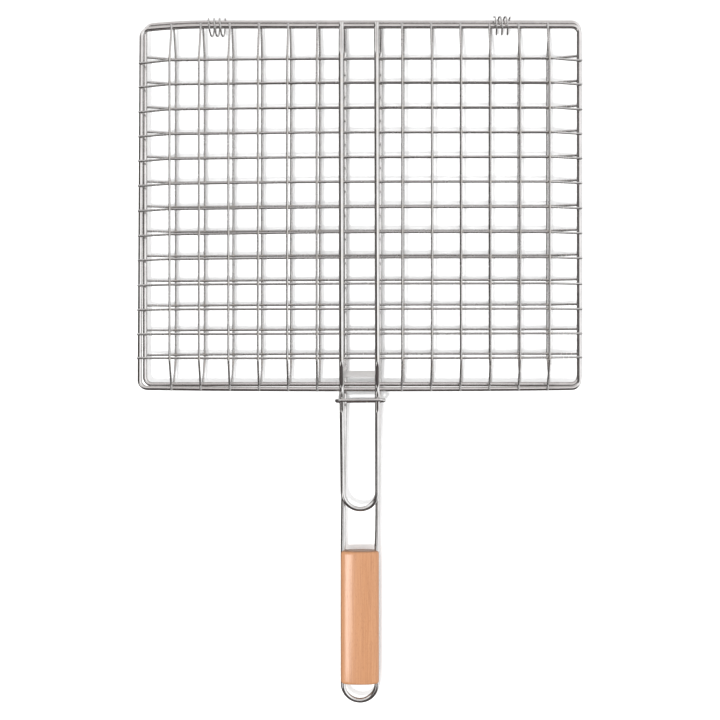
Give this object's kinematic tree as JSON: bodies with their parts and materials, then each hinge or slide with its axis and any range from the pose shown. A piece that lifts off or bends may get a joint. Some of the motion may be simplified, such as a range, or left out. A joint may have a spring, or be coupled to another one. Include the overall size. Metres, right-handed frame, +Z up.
{
  "type": "grill basket",
  "caption": "Flat hinged wire grill basket with a dished base and lid grid, a long rod handle with an oval wooden grip, and a sliding ring that locks the lid.",
  "frame": {"origin": "middle of the footprint on the table plane, at the bottom of the base handle rods", "axes": "+X across the basket, +Y from the handle towards the hinge, +Z up through the lid"},
  "size_m": [0.4016, 0.6224, 0.0351],
  "materials": {
    "rod": "bright chrome plated steel rod",
    "grid_wire": "bright chrome plated steel wire",
    "coil_wire": "plain drawn steel wire, satin",
    "plate": "plated sheet steel, satin",
    "wood": "light beech, thin clear varnish"
  },
  "bodies": {
    "base": {"base_frame": "rod", "base_handle_rod": "rod", "base_tie_plate": "plate", "wood_grip": "wood", "base_long_wire_01": "grid_wire", "base_long_wire_02": "grid_wire", "base_long_wire_03": "grid_wire", "base_long_wire_04": "grid_wire", "base_long_wire_05": "grid_wire", "base_long_wire_06": "grid_wire", "base_long_wire_07": "grid_wire", "base_long_wire_08": "grid_wire", "base_long_wire_09": "grid_wire", "base_long_wire_10": "grid_wire", "base_long_wire_11": "grid_wire", "base_long_wire_12": "grid_wire", "base_cross_wire_01": "grid_wire", "base_cross_wire_02": "grid_wire", "base_cross_wire_03": "grid_wire", "base_cross_wire_04": "grid_wire", "base_cross_wire_05": "grid_wire", "base_cross_wire_06": "grid_wire", "base_cross_wire_07": "grid_wire", "base_cross_wire_08": "grid_wire", "base_cross_wire_09": "grid_wire", "base_cross_wire_10": "grid_wire", "base_cross_wire_11": "grid_wire", "base_cross_wire_12": "grid_wire", "base_cross_wire_13": "grid_wire"},
    "lid": {"lid_frame": "rod", "lid_handle_rod": "rod", "lid_long_wire_01": "grid_wire", "lid_long_wire_02": "grid_wire", "lid_long_wire_03": "grid_wire", "lid_long_wire_04": "grid_wire", "lid_long_wire_05": "grid_wire", "lid_long_wire_06": "grid_wire", "lid_long_wire_07": "grid_wire", "lid_long_wire_08": "grid_wire", "lid_long_wire_09": "grid_wire", "lid_long_wire_10": "grid_wire", "lid_long_wire_11": "grid_wire", "lid_long_wire_12": "grid_wire", "lid_cross_wire_01": "grid_wire", "lid_cross_wire_02": "grid_wire", "lid_cross_wire_03": "grid_wire", "lid_cross_wire_04": "grid_wire", "lid_cross_wire_05": "grid_wire", "lid_cross_wire_06": "grid_wire", "lid_cross_wire_07": "grid_wire", "lid_cross_wire_08": "grid_wire", "lid_cross_wire_09": "grid_wire", "lid_cross_wire_10": "grid_wire", "lid_cross_wire_11": "grid_wire", "lid_cross_wire_12": "grid_wire", "lid_cross_wire_13": "grid_wire"},
    "ring": {"latch_ring": "rod"},
    "coil_left": {"hinge_coil_left": "coil_wire"},
    "coil_right": {"hinge_coil_right": "coil_wire"}
  },
  "joints": [
    {"name": "lid_hinge", "type": "hinge", "parent": "base", "child": "lid", "pos_m": [-0.0003, 0.30595, 0.01755], "axis": [-1, 0, 0], "range_deg": [0, 180]},
    {"name": "ring_slide", "type": "slide", "parent": "base", "child": "ring", "axis": [0, -1, 0], "range_m": [0, 0.13]},
    {"name": "coil_left_swing", "type": "hinge", "parent": "base", "child": "coil_left", "pos_m": [-0.1296, 0.3062, 0.0151], "axis": [-1, 0, 0], "range_deg": [0, 135]},
    {"name": "coil_right_swing", "type": "hinge", "parent": "base", "child": "coil_right", "pos_m": [0.1286, 0.3062, 0.0151], "axis": [-1, 0, 0], "range_deg": [0, 135]}
  ],
  "couplings": [
    {"joint": "coil_left_swing", "follows": "lid_hinge", "ratio": 0.75},
    {"joint": "coil_right_swing", "follows": "lid_hinge", "ratio": 0.75}
  ]
}
